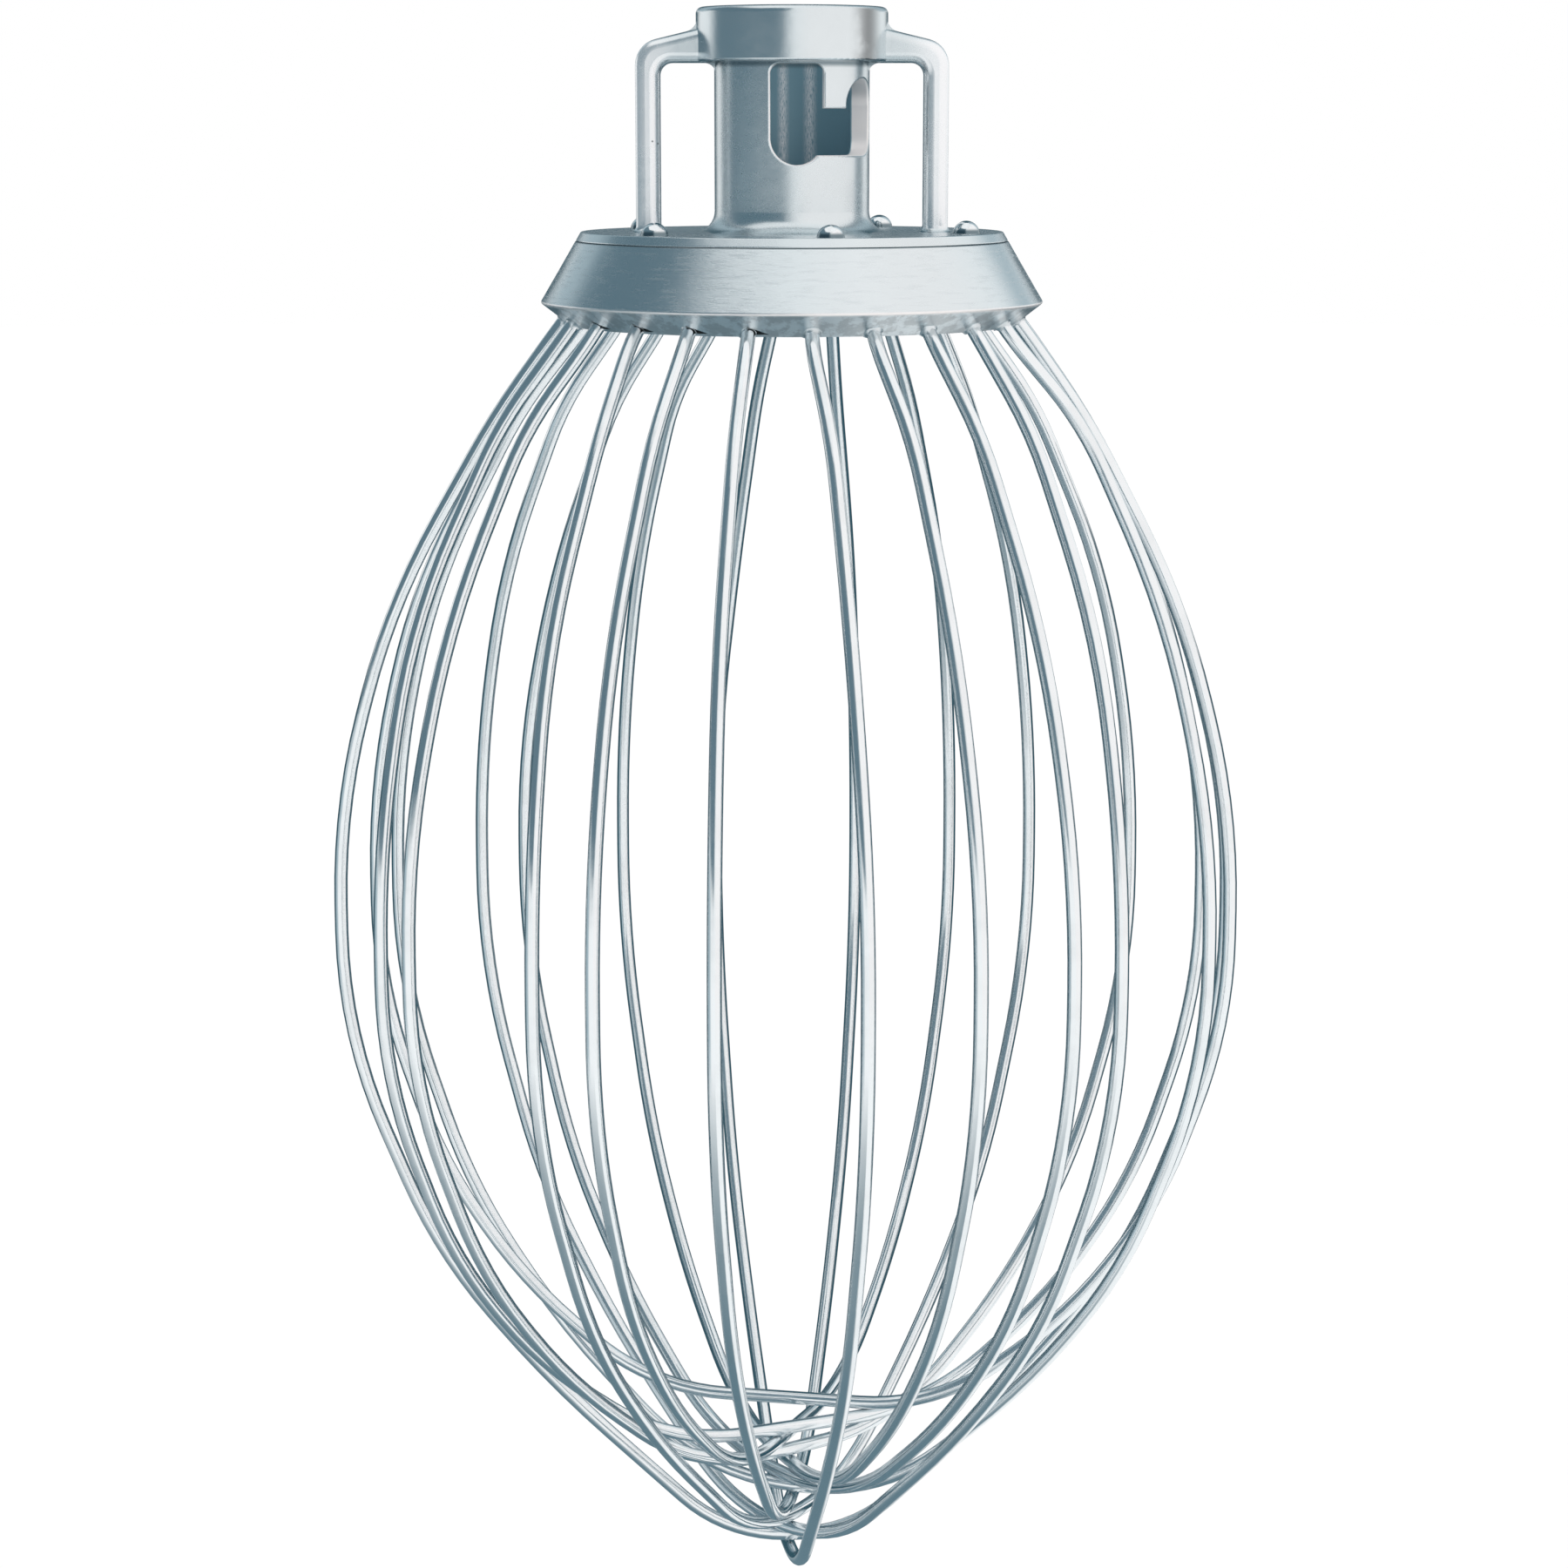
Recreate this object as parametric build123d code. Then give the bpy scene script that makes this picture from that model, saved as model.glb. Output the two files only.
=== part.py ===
from build123d import *
import math
import os

# A wire whip for a large planetary mixer, in millimetres.
# The origin is the centre of the drive shaft's bore at the top face of the hub, +Z is up the
# shaft, and the cage of wire hangs below. The side with the locking slot faces -Y.
# Turns are in degrees about Z, counted from -Y towards +X.

# Hub casting
BORE_RADIUS = 20.0
BORE_DEPTH = 68.0
TUBE_WALL = 6.4
COLLAR_WALL = 12.6
COLLAR_HEIGHT = 18.0
COLLAR_EDGE_ROUND = 2.2
COLLAR_FOOT_ROUND = 0.7
HUB_HEIGHT = 75.0
FLANGE_THICKNESS = 3.2
FLANGE_RADIUS = 72.2
FLANGE_EDGE_ROUND = 0.6
TUBE_FOOT_ROUND = 7.0
SPIGOT_LENGTH = 9.0

# Locking slot for the pin across the drive shaft
SLOT_WIDTH = 17.8
CHANNEL_ANGLE = 3.9
CHANNEL_BOTTOM = 52.4
LEG_TOP = 33.7
LEG_BOTTOM = 49.2
POCKET_ANGLE = 64.5
POCKET_TOP = 23.9
SLOT_BELOW_COLLAR = 1.2
SLOT_CORNER_ROUND = 3.2
KEYWAY_WEB = 1.4
SLOT_EDGE_ROUND = 0.7

# Two grab handles, cast with the hub
HANDLE_BAR_WIDTH = 8.3
HANDLE_BAR_DEPTH = 16.0
HANDLE_REACH = 53.1
HANDLE_ARM_TOP = 7.4
HANDLE_ARM_SLOPE = 0.24
HANDLE_ARM_UNDER = 18.5
HANDLE_SHOULDER_ROUND = 9.0
HANDLE_EDGE_ROUND = 3.4
HANDLE_ROOT_ROUND = 5.0
HANDLE_ARMPIT_ROUND = 4.0
WEB_SINK = 0.6
HANDLE_FOOT_ROUND = 2.2
FINGER_GAP_ROUND = 4.2
HANDLE_ANGLES = (0.0, 180.0)

# Ring that carries the wires
RING_HEIGHT = 20.6
RING_CONE_ANGLE = 30.5
RING_BEVEL_WIDTH = 12.4
RING_LAND_WIDTH = 22.2
RING_EDGE_ROUND = 0.8
PARTING_ROUND = 0.4
RING_BORE_HEIGHT = 12.0
RING_INNER_WALL = 5.4
FIT_CLEARANCE = 0.1

# Rivets that hold the ring to the flange
RIVET_FROM_RIM = 10.2
RIVET_HEAD_RADIUS = 4.6
RIVET_HEAD_HEIGHT = 4.2
RIVET_SHANK_RADIUS = 2.4
RIVET_SHANK_LENGTH = 14.0
RIVET_ANGLES = (-47.2, 11.6, 71.1, 149.6, 237.1)

# Wires
WIRE_DIAMETER = 4.76
LOOP_COUNT = 12
FIRST_WIRE_ANGLE = 4.6
WIRE_ANGLE = 37.5
WIRE_FROM_BEVEL_EDGE = 10.2
WIRE_SEAT_DEPTH = 17.0
NOTCHED_SEATS = (20, 21, 22, 23)
NOTCH_WIDTH = 6.6
NOTCH_RISE = 3.6
NOTCH_FALL = 1.0
NOTCH_DEPTH = 4.0
WIRE_FIRST_BEND = 7.0
WIRE_FIRST_RUN = 41.5
FIRST_RUN_ANGLE = 36.0
BELLY_RADIUS = 157.6
BELLY_DROP = 208.0
NOSE_DROP = 240.5
STACK_GAP = 0.3
BEND_SHARE = 0.46

# Corners of the wire's path between its first run and the belly, as shares of the way from
# the ring to the belly, outwards and downwards.
SHOULDER_CORNERS = ((0.755, 0.470), (1.0, 0.820))

# Corners below the belly, as shares of the belly's radius and of the loop's own drop below
# the belly, for the lowest loop and for the highest one. The loops between blend the two.
LOW_NOSE_CORNERS = ((1.0, 0.190), (0.790, 0.533), (0.536, 0.740), (0.130, 1.0))
HIGH_NOSE_CORNERS = ((1.0, 0.215), (0.850, 0.570), (0.650, 0.800), (0.340, 1.0))

# How each loop has been knocked about in use. For its front end, then its far end: degrees
# round at the first run, degrees round at the belly, and millimetres outwards at the belly.
# Then its place in the stack counted up from the lowest, and millimetres the nose has moved.
LOOP_SETS = (
    ((2.5, 4.0, 0.0), (2.5, 6.5, -3.0), 0, 0.0),
    ((2.5, 3.0, -3.0), (5.5, 5.0, 2.0), 7, -1.5),
    ((2.0, 0.5, -1.0), (4.5, 7.0, -2.0), 6, -2.5),
    ((0.5, -6.0, -3.0), (4.0, 0.0, -2.0), 2, -3.0),
    ((8.5, 3.5, -5.0), (5.5, 1.5, 3.0), 5, -3.0),
    ((-0.5, 6.0, -3.0), (-3.0, -6.5, 2.0), 11, 0.0),
    ((2.0, -1.5, -2.0), (-2.5, -3.5, 2.0), 1, 0.0),
    ((-6.5, -4.5, -2.0), (-3.0, 10.0, 0.0), 10, -3.0),
    ((-3.5, 0.5, 0.0), (-4.0, -1.0, -5.0), 8, -5.0),
    ((1.0, 3.5, -3.0), (3.0, 8.5, -1.0), 3, -2.0),
    ((0.0, 2.0, 0.5), (-0.5, 1.5, -2.0), 9, 0.0),
    ((1.0, 1.0, 0.0), (0.0, 1.5, 0.0), 4, 0.0),
)

# Places that follow from the sizes above
HALF_TURN = 180.0
tube_radius = BORE_RADIUS + TUBE_WALL
collar_radius = BORE_RADIUS + COLLAR_WALL
cone_spread = math.tan(math.radians(RING_CONE_ANGLE))
flange_foot_radius = FLANGE_RADIUS + FLANGE_THICKNESS * cone_spread
ring_bore_radius = FLANGE_RADIUS - RING_LAND_WIDTH
rivet_circle_radius = FLANGE_RADIUS - RIVET_FROM_RIM
ring_top = -(HUB_HEIGHT + FLANGE_THICKNESS)
ring_edge_radius = flange_foot_radius + RING_HEIGHT * cone_spread
ring_edge_height = ring_top - RING_HEIGHT
wire_out = math.sin(math.radians(WIRE_ANGLE))
wire_down = math.cos(math.radians(WIRE_ANGLE))
ring_foot_radius = ring_edge_radius - RING_BEVEL_WIDTH * wire_down
ring_foot_height = ring_edge_height - RING_BEVEL_WIDTH * wire_out
wire_radius = WIRE_DIAMETER / 2
wire_exit_radius = ring_edge_radius - WIRE_FROM_BEVEL_EDGE * wire_down
wire_exit_height = ring_edge_height - WIRE_FROM_BEVEL_EDGE * wire_out
wire_end_step = HALF_TURN / LOOP_COUNT
stack_pitch = WIRE_DIAMETER + STACK_GAP
slot_top = COLLAR_HEIGHT + SLOT_BELOW_COLLAR


def at(radius, turn, height):
    """A point at a radius, a turn from -Y towards +X, and a height."""
    angle = math.radians(turn)
    return Vector(radius * math.sin(angle), -radius * math.cos(angle), height)


def turned(shape, turn):
    """A shape that faces -Y, turned about the shaft."""
    return shape.rotate(Axis.Z, turn)


def spun(*corners):
    """A round solid from the (radius, height) corners of its half section."""
    outline = Polyline(*[(radius, 0, height) for radius, height in corners], close=True)
    return revolve(make_face(outline), Axis.Z)


def rims_at(shape, radius, height):
    """The round edges about the shaft at a radius and a height."""
    rims = shape.edges().filter_by(GeomType.CIRCLE)
    level = [rim for rim in rims if abs(rim.center().Z - height) < 0.01]
    return [rim for rim in level if abs(rim.radius - radius) < 0.01]


def hub_body():
    """Collar, tube, flange and the spigot that the ring is centred on."""
    spigot_foot = ring_top - SPIGOT_LENGTH
    spigot_radius = ring_bore_radius - FIT_CLEARANCE
    body = spun(
        (0, 0),
        (collar_radius, 0),
        (collar_radius, -COLLAR_HEIGHT),
        (tube_radius, -COLLAR_HEIGHT),
        (tube_radius, -HUB_HEIGHT),
        (FLANGE_RADIUS, -HUB_HEIGHT),
        (flange_foot_radius, ring_top),
        (spigot_radius, ring_top),
        (spigot_radius, spigot_foot),
        (0, spigot_foot),
    )
    body = fillet(rims_at(body, collar_radius, 0), COLLAR_EDGE_ROUND)
    body = fillet(rims_at(body, collar_radius, -COLLAR_HEIGHT), COLLAR_FOOT_ROUND)
    body = fillet(rims_at(body, FLANGE_RADIUS, -HUB_HEIGHT), FLANGE_EDGE_ROUND)
    body = fillet(rims_at(body, flange_foot_radius, ring_top), PARTING_ROUND)
    return fillet(rims_at(body, tube_radius, -HUB_HEIGHT), TUBE_FOOT_ROUND)


def edges_at(shape, x, z):
    """The edges along Y that stand at x and z."""
    along = shape.edges().filter_by(Axis.Y)
    return [edge for edge in along if abs(edge.center().X - x) < 0.01 and abs(edge.center().Z - z) < 0.01]


def arm_top_at(reach):
    """Height of a handle's arm, which slopes down from the collar, at a distance from the shaft."""
    return -(HANDLE_ARM_TOP + HANDLE_ARM_SLOPE * (reach - collar_radius))


def handle():
    """One grab handle: an arm out of the collar and a post down to the flange, facing +X."""
    arm_under = -HANDLE_ARM_UNDER
    post_inside = HANDLE_REACH - HANDLE_BAR_WIDTH
    root = tube_radius - TUBE_WALL / 2
    foot = ring_top + FLANGE_THICKNESS / 2
    outline = Polyline(
        (root, 0, arm_top_at(root)),
        (HANDLE_REACH, 0, arm_top_at(HANDLE_REACH)),
        (HANDLE_REACH, 0, foot),
        (post_inside, 0, foot),
        (post_inside, 0, arm_under),
        (root, 0, arm_under),
        close=True,
    )
    bar = extrude(make_face(outline), HANDLE_BAR_DEPTH / 2, both=True)
    bar = fillet(edges_at(bar, HANDLE_REACH, arm_top_at(HANDLE_REACH)), HANDLE_SHOULDER_ROUND)
    bar = fillet(edges_at(bar, post_inside, arm_under), FINGER_GAP_ROUND)
    rims = []
    for side in bar.faces().filter_by(Axis.Y):
        for edge in side.edges():
            at_root = abs(edge.center().X - root) < 0.01
            at_foot = abs(edge.center().Z - foot) < 0.01
            if not at_root and not at_foot:
                rims.append(edge)
    return fillet(rims, HANDLE_EDGE_ROUND)


def upright_slot(top, bottom, square_top):
    """A cutter through the tube's wall at -Y, with a round foot and a round or square head."""
    half = SLOT_WIDTH / 2
    head = top if square_top else top + half
    block_height = bottom - half - head
    middle = -(head + block_height / 2)
    block = Pos(0, -collar_radius / 2, middle) * Box(SLOT_WIDTH, collar_radius, block_height)
    drill = Rot(90, 0, 0) * Cylinder(half, collar_radius, align=(Align.CENTER, Align.CENTER, Align.MIN))
    cutter = block + Pos(0, 0, -(bottom - half)) * drill
    if square_top:
        tops = [e for e in cutter.edges().filter_by(Axis.Y) if abs(e.center().Z + top) < 0.01]
        return fillet(tops, SLOT_CORNER_ROUND)
    return cutter + Pos(0, 0, -(top + half)) * drill


def locking_slot():
    """Entry channel, sideways leg and the pocket that the pin rises into."""
    channel = turned(upright_slot(slot_top, CHANNEL_BOTTOM, True), CHANNEL_ANGLE)
    pocket = turned(upright_slot(POCKET_TOP, LEG_BOTTOM, False), POCKET_ANGLE)
    leg_face = Polyline(
        (0, 0, -LEG_TOP),
        (0, -collar_radius, -LEG_TOP),
        (0, -collar_radius, -LEG_BOTTOM),
        (0, 0, -LEG_BOTTOM),
        close=True,
    )
    leg = revolve(make_face(leg_face), Axis.Z, POCKET_ANGLE - CHANNEL_ANGLE)
    return channel + pocket + turned(leg, CHANNEL_ANGLE)


def keyway():
    """The groove inside the bore that lets the pin down into the slot's channel."""
    height = slot_top + SLOT_CORNER_ROUND
    groove = Box(SLOT_WIDTH, tube_radius, height, align=(Align.CENTER, Align.MAX, Align.MAX))
    inside = Cylinder(tube_radius - KEYWAY_WEB, height, align=(Align.CENTER, Align.CENTER, Align.MAX))
    return turned(groove & inside, CHANNEL_ANGLE)


def root_web():
    """The hollow corners above and under a handle's arm, where it leaves the hub, facing +X.
    Each is let into the round wall a little, so that no gap is left beside it."""
    half_depth = HANDLE_BAR_DEPTH / 2 - HANDLE_EDGE_ROUND
    inside = tube_radius - TUBE_WALL / 2
    arm_middle = -(COLLAR_HEIGHT - COLLAR_FOOT_ROUND)
    top_x = collar_radius - WEB_SINK
    top_z = arm_top_at(top_x)
    top_end = top_x + HANDLE_ROOT_ROUND
    above = Polyline(
        (top_x, 0, top_z),
        (top_x, 0, top_z + HANDLE_ROOT_ROUND),
        (inside, 0, top_z + HANDLE_ROOT_ROUND),
        (inside, 0, arm_middle),
        (top_end, 0, arm_middle),
        (top_end, 0, arm_top_at(top_end)),
        close=True,
    )
    top_web = extrude(make_face(above), half_depth, both=True)
    top_web = fillet(edges_at(top_web, top_x, top_z), HANDLE_ROOT_ROUND)
    under_x = tube_radius - WEB_SINK
    under_z = -HANDLE_ARM_UNDER
    under_end = under_x + HANDLE_ARMPIT_ROUND + FIT_CLEARANCE
    under_low = under_z - HANDLE_ARMPIT_ROUND - FIT_CLEARANCE
    below = Polyline(
        (under_x, 0, under_z),
        (under_x, 0, under_low),
        (inside, 0, under_low),
        (inside, 0, arm_middle),
        (under_end, 0, arm_middle),
        (under_end, 0, under_z),
        close=True,
    )
    under_web = extrude(make_face(below), half_depth, both=True)
    under_web = fillet(edges_at(under_web, under_x, under_z), HANDLE_ARMPIT_ROUND)
    return top_web + under_web


def rooted_handles(body):
    """The casting with both handles on it, their feet run softly into the flange."""
    for turn in HANDLE_ANGLES:
        body = body + turned(handle() + root_web(), turn)
    inner_reach = HANDLE_REACH - HANDLE_BAR_WIDTH - FIT_CLEARANCE
    feet = []
    for edge in body.edges():
        middle = edge.center()
        reach = math.hypot(middle.X, middle.Y)
        on_flange = abs(middle.Z + HUB_HEIGHT) < 0.01
        if on_flange and inner_reach < reach < HANDLE_REACH + FIT_CLEARANCE:
            feet.append(edge)
    return fillet(feet, HANDLE_FOOT_ROUND)


def make_hub():
    body = hub_body()
    bore = Cylinder(BORE_RADIUS, BORE_DEPTH, align=(Align.CENTER, Align.CENTER, Align.MAX))
    body = body - bore - keyway() - locking_slot()
    body = fillet(slot_rim(body), SLOT_EDGE_ROUND)
    body = rooted_handles(body)
    for turn in RIVET_ANGLES:
        body = body - rivet_hole(turn, -HUB_HEIGHT)
    return body


def slot_rim(body):
    """The edges that the locking slot leaves on the outside of the tube."""
    rim = []
    for edge in body.edges():
        places = [edge @ share for share in (0.0, 0.5, 1.0)]
        reaches = [math.hypot(place.X, place.Y) for place in places]
        on_tube = all(abs(reach - tube_radius) < 0.01 for reach in reaches)
        on_slot = all(-CHANNEL_BOTTOM - 0.01 < place.Z < 0.01 - slot_top for place in places)
        if on_tube and on_slot:
            rim.append(edge)
    return rim


def wire_seat(turn):
    """The blind hole for one end of a wire, with its bottom square to the wire."""
    radius = wire_radius + FIT_CLEARANCE
    clear_of_ring = RING_BEVEL_WIDTH
    bottom = at(wire_exit_radius - WIRE_SEAT_DEPTH * wire_out, turn,
                wire_exit_height + WIRE_SEAT_DEPTH * wire_down)
    outward = at(wire_out, turn, -wire_down)
    drill = Cylinder(radius, WIRE_SEAT_DEPTH + clear_of_ring,
                     align=(Align.CENTER, Align.CENTER, Align.MIN))
    return Plane(origin=bottom, z_dir=outward) * drill


def seat_notch(turn):
    """The three-cornered notch that shows in the bevel beside a wire."""
    mouth = at(wire_exit_radius, turn, wire_exit_height)
    bevel = Plane(origin=mouth, x_dir=at(1, turn + HALF_TURN / 2, 0), z_dir=at(wire_out, turn, -wire_down))
    outline = Polyline((0, NOTCH_RISE), (NOTCH_WIDTH, -NOTCH_FALL), (0, -NOTCH_FALL), close=True)
    return bevel * extrude(make_face(outline), NOTCH_DEPTH, both=True)


def make_ring():
    inner_foot_radius = wire_exit_radius - (wire_radius + RING_INNER_WALL) / wire_down
    blank = spun(
        (ring_bore_radius, ring_top),
        (flange_foot_radius, ring_top),
        (ring_edge_radius, ring_edge_height),
        (ring_foot_radius, ring_foot_height),
        (inner_foot_radius, ring_foot_height),
        (ring_bore_radius, ring_top - RING_BORE_HEIGHT),
    )
    blank = fillet(rims_at(blank, ring_edge_radius, ring_edge_height), RING_EDGE_ROUND)
    blank = fillet(rims_at(blank, flange_foot_radius, ring_top), PARTING_ROUND)
    for index in range(2 * LOOP_COUNT):
        turn = FIRST_WIRE_ANGLE + index * wire_end_step
        blank = blank - wire_seat(turn)
        if index in NOTCHED_SEATS:
            blank = blank - seat_notch(turn)
    for turn in RIVET_ANGLES:
        blank = blank - rivet_hole(turn, -HUB_HEIGHT)
    return blank


def rivet_hole(turn, seat_height):
    """The drilled hole that a rivet's shank fills, from its seat down to its end."""
    drill = Cylinder(RIVET_SHANK_RADIUS + FIT_CLEARANCE, RIVET_SHANK_LENGTH,
                     align=(Align.CENTER, Align.CENTER, Align.MAX))
    return Pos(at(rivet_circle_radius, turn, seat_height)) * drill


def make_rivet(turn):
    """A domed rivet, its head seated on the flange."""
    dome_radius = (RIVET_HEAD_RADIUS ** 2 + RIVET_HEAD_HEIGHT ** 2) / (2 * RIVET_HEAD_HEIGHT)
    ball = Pos(0, 0, RIVET_HEAD_HEIGHT - dome_radius) * Sphere(dome_radius)
    above = Cylinder(2 * RIVET_HEAD_RADIUS, 2 * RIVET_HEAD_HEIGHT,
                     align=(Align.CENTER, Align.CENTER, Align.MIN))
    shank = Cylinder(RIVET_SHANK_RADIUS, RIVET_SHANK_LENGTH,
                     align=(Align.CENTER, Align.CENTER, Align.MAX))
    return Pos(at(rivet_circle_radius, turn, -HUB_HEIGHT)) * ((ball & above) + shank)


def half_loop_corners(turn, end_set, place, nose_move):
    """Corners of half a loop, from the bottom of its seat to the nose."""
    early, late, bulge = end_set
    mix = place / (LOOP_COUNT - 1)
    drop = NOSE_DROP - place * stack_pitch
    belly_height = wire_exit_height - BELLY_DROP
    bend_radius = wire_exit_radius + WIRE_FIRST_BEND * wire_out
    bend_height = wire_exit_height - WIRE_FIRST_BEND * wire_down
    run = WIRE_FIRST_RUN - WIRE_FIRST_BEND
    run_out = run * math.sin(math.radians(FIRST_RUN_ANGLE))
    run_down = run * math.cos(math.radians(FIRST_RUN_ANGLE))
    corners = [
        at(wire_exit_radius - WIRE_SEAT_DEPTH * wire_out, turn,
           wire_exit_height + WIRE_SEAT_DEPTH * wire_down),
        at(bend_radius, turn, bend_height),
        at(bend_radius + run_out, turn + early, bend_height - run_down),
    ]
    shoulder_turns = (turn + (early + late) / 2, turn + late)
    for (outward, downward), shoulder_turn in zip(SHOULDER_CORNERS, shoulder_turns):
        radius = wire_exit_radius + outward * (BELLY_RADIUS - wire_exit_radius)
        height = wire_exit_height - downward * BELLY_DROP
        corners.append(at(radius + bulge * outward, shoulder_turn, height))
    for low, high in zip(LOW_NOSE_CORNERS, HIGH_NOSE_CORNERS):
        outward = low[0] + (high[0] - low[0]) * mix
        downward = low[1] + (high[1] - low[1]) * mix
        corner = at(outward * (BELLY_RADIUS + bulge), turn + late, belly_height - downward * drop)
        corners.append(corner + nose_move * downward ** 2)
    return corners


def bend_radii(corners):
    """A bend for each inner corner: the largest that leaves its neighbours room, but at both
    ends one that starts outside the seat."""
    radii = []
    last = len(corners) - 2
    for number in range(1, last + 1):
        arriving = corners[number] - corners[number - 1]
        leaving = corners[number + 1] - corners[number]
        turn = math.radians(arriving.get_angle(leaving))
        reach = BEND_SHARE * min(arriving.length, leaving.length)
        if number in (1, last):
            reach = WIRE_FIRST_BEND
        radii.append(reach / math.tan(turn / 2))
    return radii


def make_loop(index):
    """One wire: out of its seat, round the belly, across the nose and back."""
    turn = FIRST_WIRE_ANGLE + index * wire_end_step
    front_set, far_set, place, shift = LOOP_SETS[index]
    nose_move = at(shift, turn + HALF_TURN / 2, 0)
    front = half_loop_corners(turn, front_set, place, nose_move)
    far = half_loop_corners(turn + HALF_TURN, far_set, place, nose_move)
    corners = front + far[::-1]
    path = FilletPolyline(*corners, radius=bend_radii(corners))
    start = Plane(origin=path @ 0, z_dir=path % 0)
    wire = sweep(start * Circle(wire_radius), path)
    expected = math.pi * wire_radius ** 2 * path.length
    print(f"loop {index + 1}: length {path.length:.0f}, volume over expected {wire.volume / expected:.4f}")
    return wire


def build():
    os.makedirs("parts", exist_ok=True)
    export_step(make_hub(), "parts/hub.step")
    export_step(make_ring(), "parts/wire_ring.step")
    for number, turn in enumerate(RIVET_ANGLES, 1):
        export_step(make_rivet(turn), f"parts/rivet_{number}.step")
    for index in range(LOOP_COUNT):
        export_step(make_loop(index), f"parts/wire_loop_{index + 1:02d}.step")


build()
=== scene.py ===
import math
import random

import bmesh
import bpy
from bpy.props import FloatProperty, FloatVectorProperty, PointerProperty
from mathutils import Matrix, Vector


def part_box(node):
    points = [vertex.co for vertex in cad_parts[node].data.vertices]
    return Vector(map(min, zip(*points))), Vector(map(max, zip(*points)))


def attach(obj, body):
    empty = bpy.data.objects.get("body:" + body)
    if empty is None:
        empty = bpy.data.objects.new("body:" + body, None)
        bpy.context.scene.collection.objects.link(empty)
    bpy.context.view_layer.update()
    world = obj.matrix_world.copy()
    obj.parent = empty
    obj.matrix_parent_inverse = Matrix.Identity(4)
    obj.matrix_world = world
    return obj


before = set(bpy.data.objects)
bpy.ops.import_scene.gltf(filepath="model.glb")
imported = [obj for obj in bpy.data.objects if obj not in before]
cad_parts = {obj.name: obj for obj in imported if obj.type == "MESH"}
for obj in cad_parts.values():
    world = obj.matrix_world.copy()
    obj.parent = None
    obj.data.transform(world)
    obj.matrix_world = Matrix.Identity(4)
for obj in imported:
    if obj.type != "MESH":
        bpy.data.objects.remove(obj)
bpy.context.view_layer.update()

bl_info = {
    "name": "Mixer Wire Whip",
    "version": (1, 0, 0),
    "blender": (4, 5, 0),
    "location": "View3D > Sidebar > Wire Whip",
    "description": "Finishes a large planetary mixer's wire whip and sets it in a plain studio",
    "category": "Object",
}

# Everything is in metres, in the part's own frame: the origin is the centre of the shaft's bore at
# the top of the hub, +Z is up the shaft, and the side with the locking slot faces -Y.
# Turns are counted about Z from -Y towards +X, in degrees where a piece is placed and in radians
# where a finish is painted.

MM = 0.001
BODY = "root"

HUB = "hub"
RING = "wire_ring"
RIVETS = sorted(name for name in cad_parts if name.startswith("rivet_"))
WIRES = sorted(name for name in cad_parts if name.startswith("wire_loop_"))

# Sizes of the part that the finishes and the beads follow
BORE_RADIUS = 20.0 * MM
TUBE_RADIUS = 26.4 * MM
COLLAR_RADIUS = 32.6 * MM
COLLAR_HEIGHT = 18.0 * MM
HUB_HEIGHT = 75.0 * MM
HANDLE_FROM_TUBE = 16.0 * MM
WIRE_RADIUS = 2.38 * MM
FIRST_WIRE_TURN = 4.6
WIRE_LEAN = math.radians(37.5)
WIRE_ENDS = 2 * len(WIRES)
NOTCHED_ENDS = (20, 21, 22, 23)
NOSE_HEIGHT = -0.44

# The ring's own corners, worked out from its box and the cut of its bevel
RING_LOW, RING_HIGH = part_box(RING)
RING_TOP = RING_HIGH.z
RING_EDGE_RADIUS = 86.22 * MM
RING_FOOT_HEIGHT = RING_LOW.z
RING_BEVEL_WIDTH = 12.4 * MM
RING_EDGE_HEIGHT = RING_FOOT_HEIGHT + RING_BEVEL_WIDTH * math.sin(WIRE_LEAN)
WIRE_FROM_BEVEL_EDGE = 10.2 * MM

# Painted light and shade. The pale speckled strips on the bore's painted shade and the painted dark
# reflection on the collar have a middle turn and a reach to each side of it, in radians. The two
# widths are for the painted shade in the seam at the ring's top and round the foot of each rivet.
SPECKLED_STRIPS = ((-2.99, 0.13), (2.82, 0.16))
COLLAR_REFLECTION = (0.90, 0.30)
SEAM_SHADE_WIDTH = 0.45 * MM
RIVET_SHADE_WIDTH = 1.3 * MM

# Floor, lamp and low card. The low card's rim has its middle and its width as shares of the radius,
# and its right side has the place where the card ends and the width over which it fades.
FLOOR_RADIUS = 14.0
FLOOR_SIDES = 96
FLOOR_COLOUR = (0.93, 0.93, 0.93)
FLOOR_GLOW = 0.09
LAMP_SIDE = 1.6
LAMP_PLACE = (1.5, -1.3, 1.4)
LOW_CARD_SIDES = 64
LOW_CARD_RIM = (0.42, 0.84)
LOW_CARD_RIGHT = (0.16, 0.14)
LOW_CARD_LIFT = 2.0 * MM

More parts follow.
